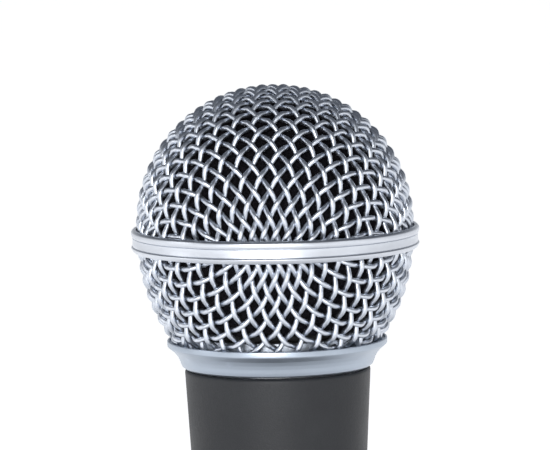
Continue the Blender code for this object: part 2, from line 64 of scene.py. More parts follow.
# Heights and radii that the frame gives
BAND_LOW, BAND_TOP = (corner.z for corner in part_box("grille_band"))
BAND_PLANE = (BAND_LOW + BAND_TOP) / 2
BAND_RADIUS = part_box("grille_band")[1].x
DOME_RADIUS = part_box("grille_dome")[1].x
DOME_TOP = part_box("grille_dome")[1].z
DOME_CENTRE = DOME_TOP - DOME_RADIUS
DOME_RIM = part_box("grille_dome")[0].z
BOWL_LOW, BOWL_TOP = (corner.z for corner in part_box("grille_bowl"))
COLLAR_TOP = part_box("grille_collar")[1].z
COLLAR_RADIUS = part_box("grille_collar")[1].x
SPIGOT_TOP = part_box("handle_body")[1].z
SLEEVE_LOW, SLEEVE_TOP = (corner.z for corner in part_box("grille_sleeve"))
SLEEVE_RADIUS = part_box("grille_sleeve")[1].x
CAPSULE_BASE, CAPSULE_RIM = (corner.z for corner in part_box("capsule_housing"))
CAPSULE_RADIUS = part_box("capsule_housing")[1].x

# The handle's taper
SHOULDER = 111.7 * MM
LOWER_RADIUS = 11.5 * MM
UPPER_RADIUS = 16.5 * MM
TAPER_POWER = 1.25
SCREW_REGION = (18.9 * MM, 23.1 * MM)

# The weave
WIRE = 0.94 * MM  # diameter
PITCH = 2.68 * MM  # between neighbouring wires
WIRES_EACH_SIDE = 17
WIRE_SIDES = 8
STEPS_PER_CELL = 6
SHEAR_STIFFNESS = 0.11  # how much the wires resist closing up on the bias
BOWL_RADIUS = 24.5 * MM
BOWL_ARC = 31.4 * MM
BOWL_FLAT_DEPTH = 21.5 * MM  # of the pressed cup's floor, which is cut away
BOWL_CORNER = 4.0 * MM
PAST_RIM = 16 * MM  # how far a cup goes straight on, behind the band
DOME_BIAS = -92.1  # degrees round from +X to a bias line of the dome's weave
BOWL_BIAS = -90.7


# Mesh tools


def link(name, mesh):
    thing = bpy.data.objects.new(name, mesh)
    bpy.context.scene.collection.objects.link(thing)
    return thing


def solid(name, points, faces, sharp):
    """A smooth-shaded object from points and faces, with edges kept sharp above an angle."""
    mesh = bpy.data.meshes.new(name)
    mesh.from_pydata([tuple(point) for point in points], [], faces)
    mesh.shade_smooth()
    mesh.set_sharp_from_angle(angle=math.radians(sharp))
    return link(name, mesh)


def arc(centre, radius, start, end, steps):
    """Points on a circle in a section. Angles in degrees, 0 outwards and 90 upwards."""
    angles = np.radians(np.linspace(start, end, steps + 1))
    return [(centre[0] + radius * math.cos(a), centre[1] + radius * math.sin(a)) for a in angles]


def rounded(corners):
    """Rounds the corners of a closed section, given as (radius, height) or (radius, height, fillet)."""
    section = []
    for i, corner in enumerate(corners):
        here = Vector(corner[:2])
        fillet = corner[2] if len(corner) > 2 else 0.0
        if fillet == 0.0:
            section.append(tuple(here))
            continue
        before = Vector(corners[i - 1][:2]) - here
        after = Vector(corners[(i + 1) % len(corners)][:2]) - here
        half = before.angle(after) / 2
        back = min(fillet / math.tan(half), 0.49 * before.length, 0.49 * after.length)
        fillet = back * math.tan(half)
        before.normalize()
        after.normalize()
        centre = here + (before + after).normalized() * fillet / math.sin(half)
        start, end = here + before * back - centre, here + after * back - centre
        swept = -start.angle_signed(end)
        steps = max(2, math.ceil(abs(swept) / CORNER_STEP))
        for k in range(steps + 1):
            section.append(tuple(centre + Matrix.Rotation(swept * k / steps, 2) @ start))
    return section


def levels(radius, low, high, count):
    """Points straight up a wall, both ends included."""
    return [(radius, height) for height in np.linspace(low, high, count)]


def turned(name, section, sides=FINE_SIDES, relief=None, sharp=40.0):
    """A section turned about Z. It closes on itself, or its first and last points lie on the axis.

    relief(radius, height, angle) gives how far a point moves outwards.
    """
    section = np.array(section, float)
    onto_axis = section[0, 0] < 1e-9 and section[-1, 0] < 1e-9
    ring = section[1:-1] if onto_axis else section
    angles = np.arange(sides) * math.tau / sides
    radius = np.repeat(ring[:, :1], sides, 1)
    height = np.repeat(ring[:, 1:], sides, 1)
    if relief:
        radius = radius + relief(radius, height, angles[None, :] + 0 * radius)
    points = np.stack([radius * np.cos(angles), radius * np.sin(angles), height], -1).reshape(-1, 3)
    count = len(ring)
    rows = count - 1 if onto_axis else count
    faces = []
    for i in range(rows):
        lower, upper = i * sides, (i + 1) % count * sides
        for k in range(sides):
            after = (k + 1) % sides
            faces.append((lower + k, lower + after, upper + after, upper + k))
    if onto_axis:
        points = np.vstack([points, (0, 0, section[0, 1]), (0, 0, section[-1, 1])])
        first, last = len(points) - 2, len(points) - 1
        top = (count - 1) * sides
        for k in range(sides):
            after = (k + 1) % sides
            faces.append((first, after, k))
            faces.append((last, top + k, top + after))
    r, z = section.T
    area = np.sum(r * np.roll(z, -1) - np.roll(r, -1) * z)
    if area < 0:
        faces = [face[::-1] for face in faces]
    return solid(name, points, faces, sharp)


def box_form(low, high, turn=0.0):
    """A cutter: a box between two corners, turned about Z."""
    form = bmesh.new()
    size = Vector(high) - Vector(low)
    middle = (Vector(high) + Vector(low)) / 2
    seat = Matrix.Rotation(turn, 4, "Z") @ Matrix.Translation(middle) @ Matrix.Diagonal((*size, 1.0))
    bmesh.ops.create_cube(form, size=1.0, matrix=seat)
    return form


def rod_form(radius, start, end, sides=32):
    form = bmesh.new()
    along = Vector(end) - Vector(start)
    seat = Matrix.Translation((Vector(start) + Vector(end)) / 2)
    seat = seat @ along.to_track_quat("Z", "Y").to_matrix().to_4x4()
    bmesh.ops.create_cone(
        form,
        cap_ends=True,
        segments=sides,
        radius1=radius,
        radius2=radius,
        depth=along.length,
        matrix=seat,
    )
    return form


def cut(thing, *forms):
    """Cuts the forms out of thing, for good."""
    for form in forms:
        mesh = bpy.data.meshes.new("cutter")
        form.to_mesh(mesh)
        form.free()
        cutter = link("cutter", mesh)
        step = thing.modifiers.new("cut", "BOOLEAN")
        step.solver = "EXACT"
        step.object = cutter
        result = bpy.data.meshes.new_from_object(thing.evaluated_get(bpy.context.evaluated_depsgraph_get()))
        thing.modifiers.clear()
        thing.data = result
        bpy.data.objects.remove(cutter)
        bpy.data.meshes.remove(mesh)
    thing.data.name = thing.name
    thing.data.shade_smooth()
    thing.data.set_sharp_from_angle(angle=math.radians(30))


def tubes(name, paths, normals, radius, sides):
    """Round wires along paths of points, joined as one object of separate closed solids."""
    points, faces = [], []
    first = 0
    turn = np.arange(sides) * math.tau / sides
    for path, normal in zip(paths, normals):
        along = np.gradient(path, axis=0)
        along /= np.linalg.norm(along, axis=1, keepdims=True)
        out = normal - along * np.sum(normal * along, axis=1, keepdims=True)
        out /= np.linalg.norm(out, axis=1, keepdims=True)
        side = np.cross(along, out)
        rings = path[:, None] + radius * (
            np.cos(turn)[None, :, None] * out[:, None] + np.sin(turn)[None, :, None] * side[:, None]
        )
        points.append(rings.reshape(-1, 3))
        count = len(path)
        for i in range(count - 1):
            lower, upper = first + i * sides, first + (i + 1) * sides
            for k in range(sides):
                after = (k + 1) % sides
                faces.append((lower + k, lower + after, upper + after, upper + k))
        faces.append(tuple(range(first + sides - 1, first - 1, -1)))
        faces.append(tuple(range(first + (count - 1) * sides, first + count * sides)))
        first += count * sides
    return solid(name, np.vstack(points), faces, 60.0)


# The woven cups


class Cup:
    """A surface of revolution, known by its section from the pole to past its rim."""

    def __init__(self, section, outward):
        self.section = np.array(section)
        steps = np.hypot(*np.diff(self.section, axis=0).T)
        self.lengths = np.concatenate([[0.0], np.cumsum(steps)])
        self.outward = outward  # 1 if the outside faces up at the pole, -1 if it faces down

    def point(self, length, angle):
        radius = np.interp(length, self.lengths, self.section[:, 0])
        height = np.interp(length, self.lengths, self.section[:, 1])
        return np.stack([radius * np.cos(angle), radius * np.sin(angle), height], -1)

    def normal(self, length, angle):
        step = 0.05 * MM
        before = self.point(np.maximum(length - step, 0.0), 0.0 * angle)
        after = self.point(length + step, 0.0 * angle)
        along = after - before
        radial = -self.outward * along[..., 2]
        upward = self.outward * along[..., 0]
        made = np.stack([radial * np.cos(angle), radial * np.sin(angle), upward], -1)
        return made / np.linalg.norm(made, axis=-1, keepdims=True)


def dome_cup():
    """The dome's mid-surface: half a ball, then straight down behind the band."""
    radius = DOME_RADIUS - WIRE
    section = arc((0.0, DOME_CENTRE), radius, 90.0, 0.0, 160)
    section += [(radius, height) for height in np.linspace(DOME_CENTRE, DOME_CENTRE - PAST_RIM, 60)[1:]]
    return Cup(section, 1)


def bowl_cup():
    """The bowl's mid-surface, with the flat floor that the cup has before its hole is cut."""
    floor = BAND_PLANE - BOWL_FLAT_DEPTH
    radius = BOWL_ARC - WIRE
    axis = BOWL_RADIUS - BOWL_ARC
    corner_height = BOWL_CORNER - BOWL_FLAT_DEPTH
    corner_out = math.sqrt((radius - BOWL_CORNER) ** 2 - corner_height**2)
    corner = (axis + corner_out, BAND_PLANE + corner_height)
    start = math.degrees(math.atan2(corner_height, corner_out))
    section = [(r, floor) for r in np.linspace(0.0, corner[0], 80)]
    section += arc(corner, BOWL_CORNER, -90.0, start, 40)[1:]
    section += arc((axis, BAND_PLANE), radius, start, 0.0, 120)[1:]
    section += [(axis + radius, z) for z in np.linspace(BAND_PLANE, BAND_PLANE + PAST_RIM, 60)[1:]]
    return Cup(section, -1)


def next_crossing(cup, left, right, behind):
    """The crossing one pitch from both neighbours, by Newton's method in (length, angle)."""
    ends = [cup.point(*left), cup.point(*right)]
    guess = ends[0] + ends[1] - cup.point(*behind)
    at = np.array([max(left[0], right[0]), math.atan2(guess[1], guess[0])])
    nudge = 1e-6
    for _ in range(60):
        here = cup.point(*at)
        slopes = [(cup.point(at[0] + nudge, at[1]) - here) / nudge]
        slopes.append((cup.point(at[0], at[1] + nudge) - here) / nudge)
        off = np.array([np.dot(here - end, here - end) - PITCH**2 for end in ends])
        gradient = np.array([[2 * np.dot(here - end, slope) for slope in slopes] for end in ends])
        if abs(np.linalg.det(gradient)) < 1e-18:
            break
        at -= np.clip(np.linalg.solve(gradient, off), (-PITCH, -0.3), (PITCH, 0.3))
        if np.abs(off).max() < 1e-12:
            if np.linalg.norm(here - cup.point(*behind)) > 0.3 * PITCH:
                return at
            break
    return np.array([np.nan, np.nan])


def weave_crossings(cup):
    """Length and angle of every crossing of the weave, marched out from two crossed meridians."""
    count = WIRES_EACH_SIDE
    quarter = np.full((count + 1, count + 1, 2), np.nan)
    steps = np.arange(count + 1) * PITCH
    quarter[:, 0] = np.stack([steps, 0 * steps], -1)
    quarter[0, :] = np.stack([steps, 0 * steps + math.pi / 2], -1)
    for diagonal in range(2, 2 * count + 1):
        for i in range(max(1, diagonal - count), min(count, diagonal - 1) + 1):
            j = diagonal - i
            around = quarter[i - 1, j], quarter[i, j - 1], quarter[i - 1, j - 1]
            if not np.isnan(around[:2]).any():
                quarter[i, j] = next_crossing(cup, *around)
    length, angle = quarter[..., 0], quarter[..., 1].copy()
    give = SHEAR_STIFFNESS * np.clip(length / (8 * PITCH), 0.0, 1.0)
    angle -= give * np.sin(4 * angle) / 4
    size = 2 * count + 1
    lengths, angles = np.full((size, size), np.nan), np.full((size, size), np.nan)
    for i in range(-count, count + 1):
        for j in range(-count, count + 1):
            lengths[i + count, j + count] = length[abs(i), abs(j)]
            turn = angle[abs(i), abs(j)]
            turn = turn if i >= 0 else math.pi - turn
            angles[i + count, j + count] = turn if j >= 0 else -turn
    return lengths, angles


def smooth_through(values, steps):
    """A Catmull-Rom curve through rows of values, with that many steps from one to the next."""
    ends = [2 * values[:1] - values[1:2], values, 2 * values[-1:] - values[-2:-1]]
    rows = np.vstack(ends)
    t = (np.arange(steps) / steps)[None, :, None]
    before, start, end, after = (rows[k : len(rows) - 3 + k][:, None] for k in range(4))
    bend = 2 * before - 5 * start + 4 * end - after
    twist = -before + 3 * start - 3 * end + after
    curve = (2 * start + (end - before) * t + bend * t**2 + twist * t**3) / 2
    return np.vstack([curve.reshape(-1, values.shape[1]), values[-1:]])


def kept_runs(heights, low, high):
    """Index ranges where heights stay between low and high."""
    inside = np.flatnonzero((heights >= low) & (heights <= high))
    return [run for run in np.split(inside, np.flatnonzero(np.diff(inside) > 1) + 1) if len(run) > 3]


def trimmed(path, normal, heights, run, low, high):
    """One run of a wire, carried on to where it meets the height limits."""
    path_part, normal_part = [path[run]], [normal[run]]
    for edge, beyond, at in ((run[0], run[0] - 1, 0), (run[-1], run[-1] + 1, len(path_part))):
        if not 0 <= beyond < len(path):
            continue
        limit = low if heights[beyond] < low else high
        share = (limit - heights[edge]) / (heights[beyond] - heights[edge])
        if share < 0.1:
            continue
        at = 0 if at == 0 else len(path_part)
        path_part.insert(at, (path[edge] + share * (path[beyond] - path[edge]))[None])
        normal_part.insert(at, normal[edge][None])
    return np.vstack(path_part), np.vstack(normal_part)


def woven_cup(name, cup, bias, low, high):
    """Warp and weft wires over a cup, cut off at two heights."""
    lengths, angles = weave_crossings(cup)
    angles += math.radians(bias - 45.0)
    made = []
    for family in ("warp", "weft"):
        if family == "weft":
            lengths, angles = lengths.T, angles.T
        paths, normals = [], []
        for i, (length, angle) in enumerate(zip(lengths, angles)):
            known = np.flatnonzero(~np.isnan(length))
            if len(known) < 4:
                continue
            at = length[known], angle[known]
            surface = smooth_through(np.hstack([cup.point(*at), cup.normal(*at)]), STEPS_PER_CELL)
            base, normal = surface[:, :3], surface[:, 3:]
            normal /= np.linalg.norm(normal, axis=1, keepdims=True)
            phase = np.arange(len(base)) * math.pi / STEPS_PER_CELL + math.pi * (i + known[0])
            over = np.cos(phase) if family == "warp" else -np.cos(phase)
            path = base + normal * (over * WIRE / 2)[:, None]
            for run in kept_runs(base[:, 2], low, high):
                part, part_normal = trimmed(path, normal, base[:, 2], run, low, high)
                if np.linalg.norm(part[0] - part[-1]) > PITCH / 2:
                    paths.append(part)
                    normals.append(part_normal)
        made.append(tubes(f"{name}_{family}_wires", paths, normals, WIRE / 2, WIRE_SIDES))
    return made


# Materials

FLOOR_GLOW = 0.85
# Colour and radii of a painted shadow on the floor round the microphone's foot
FLOOR_PAINTED_SHADOW = (0.74, 0.75, 0.765)
FLOOR_PAINTED_SHADOW_RADII = (0.01, 0.20)
FLOOR_GLOW_RANGE = 1.35  # the glow falls by 1 part in this close under the microphone, as part of the painted shadow there


class Finish:
    """Builds one procedural material. Textures use object coordinates, in metres."""

    def __init__(self, name, colour, roughness, metallic=0.0):
        self.made = bpy.data.materials.new(name)
        self.made.use_nodes = True
        self.tree = self.made.node_tree
        self.shader = self.tree.nodes["Principled BSDF"]
        self.place = self.node("ShaderNodeTexCoord").outputs["Object"]
        self.colour = self.plain(colour)
        self.height = None
        self.shader.inputs["Metallic"].default_value = metallic
        self.rough_socket = None
        self.roughness = roughness

    def node(self, kind, **settings):
        made = self.tree.nodes.new(kind)
        for key, value in settings.items():
            setattr(made, key, value)
        return made

    def plain(self, colour):
        made = self.node("ShaderNodeRGB")
        made.outputs[0].default_value = (*colour, 1.0)
        return made.outputs[0]

    def math(self, operation, first, second):
        made = self.node("ShaderNodeMath", operation=operation)
        for socket, value in zip(made.inputs, (first, second)):
            if isinstance(value, (int, float)):
                socket.default_value = value
            else:
                self.tree.links.new(value, socket)
        return made.outputs[0]

    def stretched(self, stretch):
        """Object coordinates scaled by stretch along each axis."""
        made = self.node("ShaderNodeVectorMath", operation="MULTIPLY")
        self.tree.links.new(self.place, made.inputs[0])
        made.inputs[1].default_value = stretch
        return made.outputs[0]

    def noise(self, size, detail=3.0, stretch=(1.0, 1.0, 1.0)):
        """Soft noise whose features are about size across, and size times stretch along each axis."""
        made = self.node("ShaderNodeTexNoise")
        made.inputs["Scale"].default_value = 1.0 / size
        made.inputs["Detail"].default_value = detail
        self.tree.links.new(self.stretched([1.0 / s for s in stretch]), made.inputs["Vector"])
        return made.outputs["Fac"]

    def cells(self, size, feature="DISTANCE_TO_EDGE"):
        made = self.node("ShaderNodeTexVoronoi", feature=feature)
        made.inputs["Scale"].default_value = 1.0 / size
        self.tree.links.new(self.place, made.inputs["Vector"])
        return made.outputs["Distance"]

    def stripes(self, size, direction, wander):
        """Smooth stripes of that spacing along one axis, bent by wander."""
        made = self.node("ShaderNodeTexWave", wave_type="BANDS", bands_direction=direction)
        made.inputs["Scale"].default_value = math.tau / (20.0 * size)
        made.inputs["Distortion"].default_value = wander
        self.tree.links.new(self.place, made.inputs["Vector"])
        return made.outputs["Fac"]

    def edges(self, start=0.52, end=0.62):
        """1 on sharp outward edges and 0 elsewhere."""
        bend = self.node("ShaderNodeNewGeometry").outputs["Pointiness"]
        return self.ranged(bend, start, end, 0.0, 1.0)

    def ranged(self, value, low, high, to_low, to_high):
        made = self.node("ShaderNodeMapRange")
        self.tree.links.new(value, made.inputs["Value"])
        for socket, number in zip(list(made.inputs)[1:5], (low, high, to_low, to_high)):
            socket.default_value = number
        return made.outputs[0]

    def tint(self, share, colour, amount):
        """Mixes a colour in where share is high."""
        made = self.node("ShaderNodeMix", data_type="RGBA")
        self.tree.links.new(self.math("MULTIPLY", share, amount), made.inputs["Factor"])
        self.tree.links.new(self.colour, made.inputs[6])
        made.inputs[7].default_value = (*colour, 1.0)
        self.colour = made.outputs[2]
        return self

    def rougher(self, share, spread):
        """Adds spread times (share - 0.5) to the roughness."""
        change = self.math("MULTIPLY", self.math("SUBTRACT", share, 0.5), spread)
        start = self.rough_socket if self.rough_socket else self.roughness
        self.rough_socket = self.math("ADD", start, change)
        return self

    def raised(self, share, height):
        """Adds share times height, in metres, to the bump."""
        lift = self.math("MULTIPLY", share, height)
        self.height = self.math("ADD", self.height, lift) if self.height else lift
        return self

    def set(self, **inputs):
        for key, value in inputs.items():
            self.shader.inputs[key.replace("_", " ")].default_value = value
        return self

    def done(self):
        self.tree.links.new(self.colour, self.shader.inputs["Base Color"])
        self.shader.inputs["Roughness"].default_value = self.roughness
        if self.rough_socket:
            held = self.node("ShaderNodeClamp")
            held.inputs["Min"].default_value = 0.05
            self.tree.links.new(self.rough_socket, held.inputs["Value"])
            self.tree.links.new(held.outputs[0], self.shader.inputs["Roughness"])
        if self.height:
            bump = self.node("ShaderNodeBump")
            bump.inputs["Distance"].default_value = 1.0
            self.tree.links.new(self.height, bump.inputs["Height"])
            self.tree.links.new(bump.outputs[0], self.shader.inputs["Normal"])
        return self.made


def wire_finish():
    """Satin nickel plate on drawn wire, a little duller where plating is thin."""
    f = Finish("wire_nickel", (0.65, 0.685, 0.75), 0.38, 1.0)
    patches = f.noise(3.0 * MM, 4.0)
    fine = f.noise(0.12 * MM, 2.0)
    f.tint(f.ranged(patches, 0.45, 0.75, 0.0, 1.0), (0.54, 0.59, 0.65), 0.5)
    f.rougher(patches, 0.14).rougher(fine, 0.12)
    f.raised(fine, 0.006 * MM)
    return f.done()


def turned_finish(name, colour, roughness):
    """Satin nickel plate over turned metal, with the lathe's fine lines round it."""
    f = Finish(name, colour, roughness, 1.0)
    lines = f.noise(0.04 * MM, 2.0, (40.0, 40.0, 1.0))
    smudges = f.noise(9.0 * MM, 3.0)
    pits = f.noise(0.3 * MM, 2.0)
    f.tint(f.ranged(smudges, 0.4, 0.75, 0.0, 1.0), tuple(0.86 * c for c in colour), 0.6)
    f.rougher(lines, 0.08).rougher(smudges, 0.12)
    f.raised(lines, 0.0015 * MM).raised(pits, 0.003 * MM)
    f.tint(f.edges(), tuple(min(1.0, 1.15 * c) for c in colour), 0.5)
    return f.done()


def steel_finish(name, colour, patches, roughness):
    f = Finish(name, colour, roughness, 1.0)
    grain = f.noise(0.2 * MM, 3.0)
    cloud = f.noise(4.0 * MM, 3.0)
    f.tint(cloud, patches, 0.5)
    f.rougher(grain, 0.2).raised(grain, 0.006 * MM)
    return f.done()


def enamel_finish():
    """Dark baked enamel with a fine texture, worn through a little on its sharp edges."""
    f = Finish("handle_enamel", (0.017, 0.018, 0.021), 0.50)
    stipple = f.noise(0.28 * MM, 2.0)
    ripple = f.noise(1.3 * MM, 3.0)
    rubbed = f.noise(14.0 * MM, 4.0)
    f.tint(f.ranged(rubbed, 0.45, 0.75, 0.0, 1.0), (0.026, 0.028, 0.031), 0.7)
    f.rougher(stipple, 0.22).rougher(rubbed, 0.22)
    f.raised(stipple, 0.030 * MM).raised(ripple, 0.03 * MM)
    chips = f.math("MULTIPLY", f.edges(0.54, 0.6), f.ranged(f.noise(1.1 * MM, 4.0), 0.45, 0.55, 0.0, 1.0))
    f.tint(chips, (0.30, 0.30, 0.31), 0.8)
    f.set(Specular_IOR_Level=0.35)
    return f.done()


def bare_casting_finish():
    """The machined zinc of the spigot, under the head."""
    f = Finish("machined_zinc", (0.55, 0.56, 0.58), 0.34, 1.0)
    lines = f.noise(0.06 * MM, 2.0, (50.0, 50.0, 1.0))
    cloud = f.noise(5.0 * MM, 3.0)
    f.tint(cloud, (0.36, 0.37, 0.39), 0.6)
    f.rougher(lines, 0.2).raised(lines, 0.006 * MM)
    return f.done()


def brass_finish():
    f = Finish("brass", (0.74, 0.55, 0.25), 0.3, 1.0)
    cloud = f.noise(3.0 * MM, 4.0)
    grain = f.noise(0.15 * MM, 2.0)
    f.tint(f.ranged(cloud, 0.4, 0.7, 0.0, 1.0), (0.45, 0.29, 0.12), 0.6)
    f.rougher(cloud, 0.25).raised(grain, 0.005 * MM)
    return f.done()


def plastic_finish(name, colour, roughness=0.42):
    """Moulded plastic with a fine spark-eroded surface and scuffed edges."""
    f = Finish(name, colour, roughness)
    grain = f.noise(0.16 * MM, 3.0)
    cloud = f.noise(6.0 * MM, 3.0)
    lighter = tuple(min(1.0, c * 1.6 + 0.01) for c in colour)
    f.tint(cloud, lighter, 0.5)
    f.rougher(grain, 0.2).rougher(cloud, 0.12).raised(grain, 0.012 * MM)
    f.tint(f.edges(), lighter, 0.6)
    return f.done()


def rubber_finish():
    f = Finish("black_rubber", (0.022, 0.022, 0.023), 0.72)
    bloom = f.noise(2.5 * MM, 4.0)
    grain = f.noise(0.12 * MM, 2.0)
    f.tint(f.ranged(bloom, 0.45, 0.8, 0.0, 1.0), (0.06, 0.058, 0.055), 0.6)
    f.rougher(bloom, 0.2).raised(grain, 0.02 * MM)
    return f.done()


def foam_finish():
    """Open-cell foam: thin walls round holes, with painted shade keeping the holes darker than the walls."""
    f = Finish("black_foam", (0.0045, 0.0043, 0.0055), 0.95)
    walls = f.cells(0.75 * MM)
    holes = f.ranged(walls, 0.02, 0.22, 1.0, 0.0)
    # Painted shade: the walls are tinted lighter, so the holes between them stay darker
    f.tint(holes, (0.012, 0.011, 0.014), 0.8)
    f.raised(holes, 0.12 * MM)
    f.rougher(f.noise(0.3 * MM), 0.1)
    f.set(Specular_IOR_Level=0.06)
    return f.done()


def felt_finish():
    f = Finish("grey_felt", (0.17, 0.165, 0.155), 0.95)
    fibres = f.noise(0.25 * MM, 6.0, (1.0, 4.0, 1.0))
    tufts = f.noise(1.2 * MM, 3.0)
    f.tint(fibres, (0.32, 0.31, 0.29), 0.7).tint(tufts, (0.09, 0.09, 0.085), 0.5)
    f.raised(fibres, 0.08 * MM)
    f.set(Sheen_Weight=0.4)
    return f.done()


def board_finish():
    """Brown paper-phenolic sheet with pressed layers."""
    f = Finish("terminal_board", (0.34, 0.17, 0.07), 0.5)
    layers = f.stripes(0.16 * MM, "Z", 0.6)
    fibres = f.noise(0.7 * MM, 5.0, (3.0, 1.0, 1.0))
    f.tint(layers, (0.24, 0.11, 0.04), 0.5).tint(fibres, (0.43, 0.24, 0.11), 0.4)
    f.rougher(fibres, 0.2).raised(fibres, 0.01 * MM)
    return f.done()


def magnet_finish():
    """Cast alnico with a ground, granular surface."""
    f = Finish("magnet_alloy", (0.20, 0.20, 0.21), 0.45, 1.0)
    grains = f.cells(0.35 * MM, "F1")
    cast = f.noise(1.8 * MM, 5.0)
    f.tint(grains, (0.33, 0.33, 0.34), 0.6).tint(cast, (0.12, 0.115, 0.11), 0.6)
    f.rougher(cast, 0.3).raised(cast, 0.03 * MM)
    return f.done()


def film_finish():
    """Clear polyester film, formed hot."""
    f = Finish("clear_film", (0.82, 0.79, 0.68), 0.16)
    cloud = f.noise(4.0 * MM, 3.0)
    creases = f.noise(0.9 * MM, 2.0)
    f.tint(cloud, (0.66, 0.62, 0.50), 0.5)
    f.rougher(cloud, 0.15).raised(creases, 0.01 * MM)
    f.set(Transmission_Weight=0.55, IOR=1.5, Coat_Weight=0.3)
    return f.done()


def winding_finish(name, size):
    """Enamelled copper wire in close turns."""
    f = Finish(name, (0.74, 0.32, 0.15), 0.3, 1.0)
    turns = f.stripes(size, "Z", 0.3)
    age = f.noise(2.5 * MM, 3.0)
    # Painted shade: the grooves between the turns are tinted darker
    f.tint(f.ranged(turns, 0.0, 0.35, 1.0, 0.0), (0.22, 0.07, 0.03), 0.9)
    f.tint(age, (0.50, 0.19, 0.08), 0.5)
    f.raised(turns, 0.25 * size).rougher(age, 0.2)
    return f.done()


def laminate_finish():
    """Stacked core stampings, a little rusty on their edges."""
    f = Finish("core_steel", (0.30, 0.295, 0.29), 0.45, 1.0)
    sheets = f.stripes(0.35 * MM, "Y", 0.2)
    rust = f.noise(1.6 * MM, 5.0)
    f.tint(f.ranged(sheets, 0.0, 0.3, 1.0, 0.0), (0.07, 0.065, 0.06), 0.9)
    f.tint(f.ranged(rust, 0.55, 0.75, 0.0, 1.0), (0.25, 0.12, 0.06), 0.5)
    f.raised(sheets, 0.05 * MM).rougher(rust, 0.3)
    return f.done()


def adhesive_finish():
    f = Finish("adhesive", (0.62, 0.47, 0.22), 0.32)
    flow = f.noise(3.5 * MM, 3.0)
    bubbles = f.cells(1.1 * MM, "F1")
    f.tint(flow, (0.45, 0.30, 0.11), 0.6)
    f.raised(flow, 0.25 * MM).raised(bubbles, 0.06 * MM).rougher(bubbles, 0.15)
    f.set(Transmission_Weight=0.25, Subsurface_Weight=0.1)
    return f.done()


def floor_finish():
    """White paper that glows evenly, as if lit from below, with a painted shadow close under the microphone:
    a darker tint and less glow there.
    """
    f = Finish("studio_floor", (0.88, 0.88, 0.88), 0.8)
    away = f.node("ShaderNodeVectorMath", operation="LENGTH")
    f.tree.links.new(f.place, away.inputs[0])
    shade = f.ranged(away.outputs["Value"], *FLOOR_PAINTED_SHADOW_RADII, 1.0, 0.0)
    f.tint(f.noise(0.4, 3.0), (0.85, 0.85, 0.855), 0.5)
    # Painted shadow: a darker tint and less glow close under the microphone
    f.tint(shade, FLOOR_PAINTED_SHADOW, 1.0)
    f.raised(f.noise(0.01, 2.0), 0.00005)
    f.set(Emission_Color=(1.0, 1.0, 1.0, 1.0), Specular_IOR_Level=0.1)
    glow = f.math("MULTIPLY", f.math("SUBTRACT", FLOOR_GLOW_RANGE, shade), FLOOR_GLOW / FLOOR_GLOW_RANGE)
    f.tree.links.new(glow, f.shader.inputs["Emission Strength"])
    return f.done()


MATERIALS = {
    "grille_wire": wire_finish(),
    "grille_metal": turned_finish("turned_nickel", (0.66, 0.69, 0.745), 0.33),
    "handle_enamel": enamel_finish(),
    "plated_steel": steel_finish("plated_steel", (0.56, 0.57, 0.60), (0.38, 0.38, 0.39), 0.33),
    "can_aluminium": turned_finish("can_aluminium", (0.74, 0.75, 0.76), 0.34),
    "black_plastic": plastic_finish("black_plastic", (0.020, 0.020, 0.022)),
    "brass_parts": brass_finish(),
    "black_rubber": rubber_finish(),
    "black_foam": foam_finish(),
    "grey_felt": felt_finish(),
    "board": board_finish(),
    "magnet_alloy": magnet_finish(),
    "clear_film": film_finish(),
    "copper_wire": winding_finish("voice_coil_copper", 0.12 * MM),
    "core_steel": laminate_finish(),
    "adhesive": adhesive_finish(),
    "red_insulation": plastic_finish("red_insulation", (0.52, 0.025, 0.015), 0.38),
    "black_insulation": plastic_finish("black_insulation", (0.020, 0.020, 0.020), 0.38),
    "yellow_insulation": plastic_finish("yellow_insulation", (0.72, 0.50, 0.03), 0.38),
    "green_insulation": plastic_finish("green_insulation", (0.03, 0.30, 0.08), 0.38),
}


def dress(piece, slot, body, *nodes, look=None):
    """Gives a finished piece a material, the slot's own unless look is given, sets it on its body and hides
    the nodes it replaces.
    """
    piece.data.materials.clear()
    piece.data.materials.append(look or MATERIALS[slot])
    if body:
        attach(piece, body)
    if nodes:
        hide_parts(*nodes)


# The grille head


def make_grille():
    wires = MATERIALS["grille_wire"]
    for piece in woven_cup("dome", dome_cup(), DOME_BIAS, DOME_RIM, DOME_TOP):
        dress(piece, "grille_metal", "grille_head", "grille_dome", look=wires)
    for piece in woven_cup("bowl", bowl_cup(), BOWL_BIAS, BOWL_LOW, BOWL_TOP):
        dress(piece, "grille_metal", "grille_head", "grille_bowl", look=wires)


